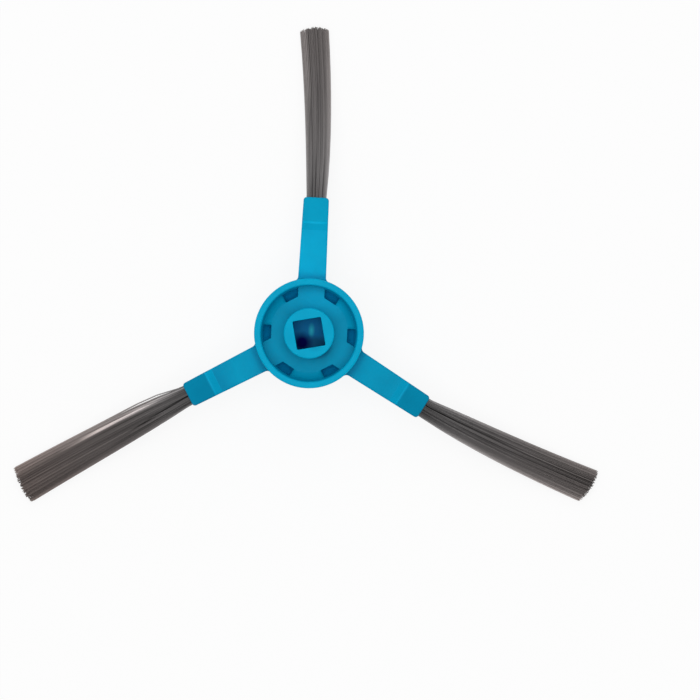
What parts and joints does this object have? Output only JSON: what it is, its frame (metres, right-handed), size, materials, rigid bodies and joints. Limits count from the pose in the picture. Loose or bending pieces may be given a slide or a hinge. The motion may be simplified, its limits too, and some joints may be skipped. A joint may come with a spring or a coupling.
{
  "type": "robot vacuum side brush",
  "caption": "Side brush for a robot vacuum: a moulded hub cup with a square drive socket and flat arms, each ending in a ferrule with a flaring tuft of bristles that sweep dirt inwards.",
  "frame": {"origin": "centre of the drive socket's mouth, on top of the boss", "axes": "+Z along the spin axis, away from the floor and towards the robot; +Y along the first arm"},
  "size_m": [0.157, 0.1317, 0.0235],
  "materials": {
    "blue_plastic": "semi-gloss moulded plastic",
    "grey_bristle": "fine nylon filaments with a dull sheen"
  },
  "bodies": {
    "root": {"brush_body": "blue_plastic", "bristle_tuft_1": "grey_bristle", "bristle_tuft_2": "grey_bristle", "bristle_tuft_3": "grey_bristle"}
  },
  "joints": []
}
